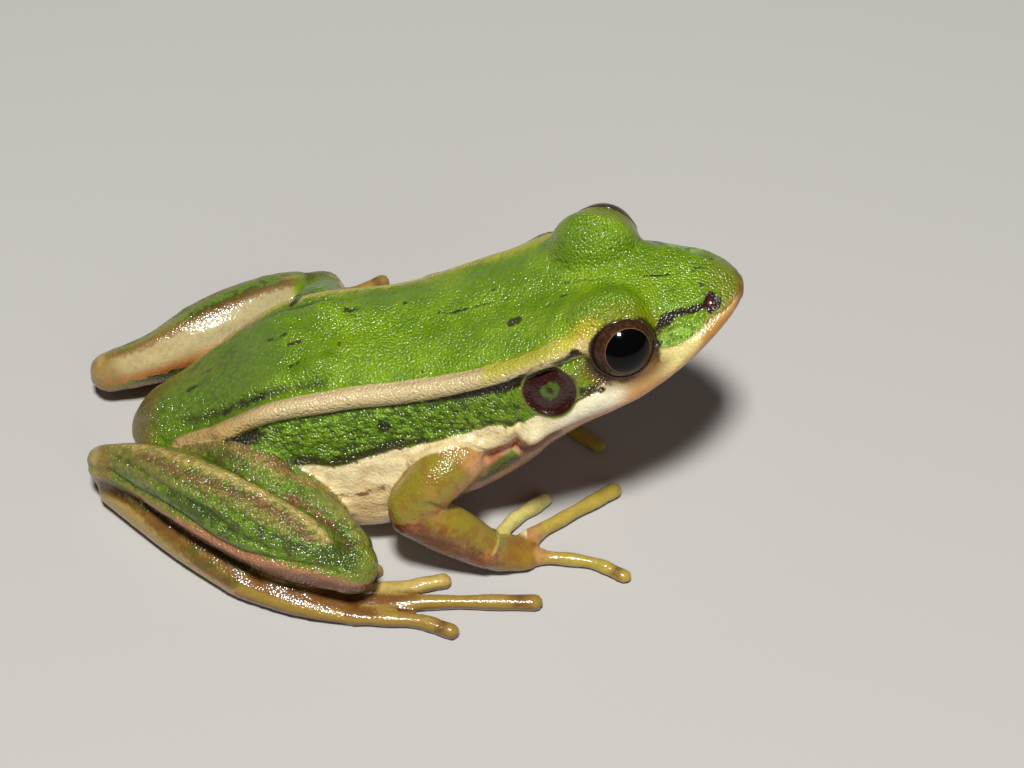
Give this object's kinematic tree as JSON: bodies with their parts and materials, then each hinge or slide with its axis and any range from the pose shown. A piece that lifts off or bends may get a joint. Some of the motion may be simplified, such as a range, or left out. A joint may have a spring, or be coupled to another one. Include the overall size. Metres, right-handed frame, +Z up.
{
  "type": "frog figure",
  "caption": "Life-size still model of a slender golden-backed frog sitting on its folded hind legs with its head raised and its fingers spread.",
  "frame": {"origin": "middle of the frog's footprint box, on the ground under its belly", "axes": "+X from the vent to the snout, +Y to the frog's left, +Z up"},
  "size_m": [0.0627, 0.045, 0.0298],
  "materials": {
    "green_skin": "moist, glossy, finely granular",
    "tan_skin": "moist, glossy",
    "ochre_skin": "moist, glossy",
    "ear_skin": "moist, thin",
    "eye": "wet, clear cornea over a dark iris"
  },
  "bodies": {
    "root": {"torso": "green_skin", "head": "green_skin", "lower_jaw": "tan_skin", "eye_right": "eye", "eye_left": "eye", "ear_right": "ear_skin", "ear_left": "ear_skin", "thigh_right": "green_skin", "shank_right": "green_skin", "tarsus_right": "tan_skin", "foot_right": "tan_skin", "toe_right_1": "ochre_skin", "toe_right_2": "ochre_skin", "toe_right_3": "ochre_skin", "toe_right_4": "ochre_skin", "toe_right_5": "ochre_skin", "thigh_left": "green_skin", "shank_left": "green_skin", "tarsus_left": "tan_skin", "foot_left": "tan_skin", "toe_left_1": "ochre_skin", "toe_left_2": "ochre_skin", "toe_left_3": "ochre_skin", "toe_left_4": "ochre_skin", "toe_left_5": "ochre_skin", "upper_arm_right": "tan_skin", "forearm_right": "tan_skin", "hand_right": "tan_skin", "finger_right_1": "ochre_skin", "finger_right_2": "ochre_skin", "finger_right_3": "ochre_skin", "finger_right_4": "ochre_skin", "upper_arm_left": "tan_skin", "forearm_left": "tan_skin", "hand_left": "tan_skin", "finger_left_1": "ochre_skin", "finger_left_2": "ochre_skin", "finger_left_3": "ochre_skin", "finger_left_4": "ochre_skin"}
  },
  "joints": []
}
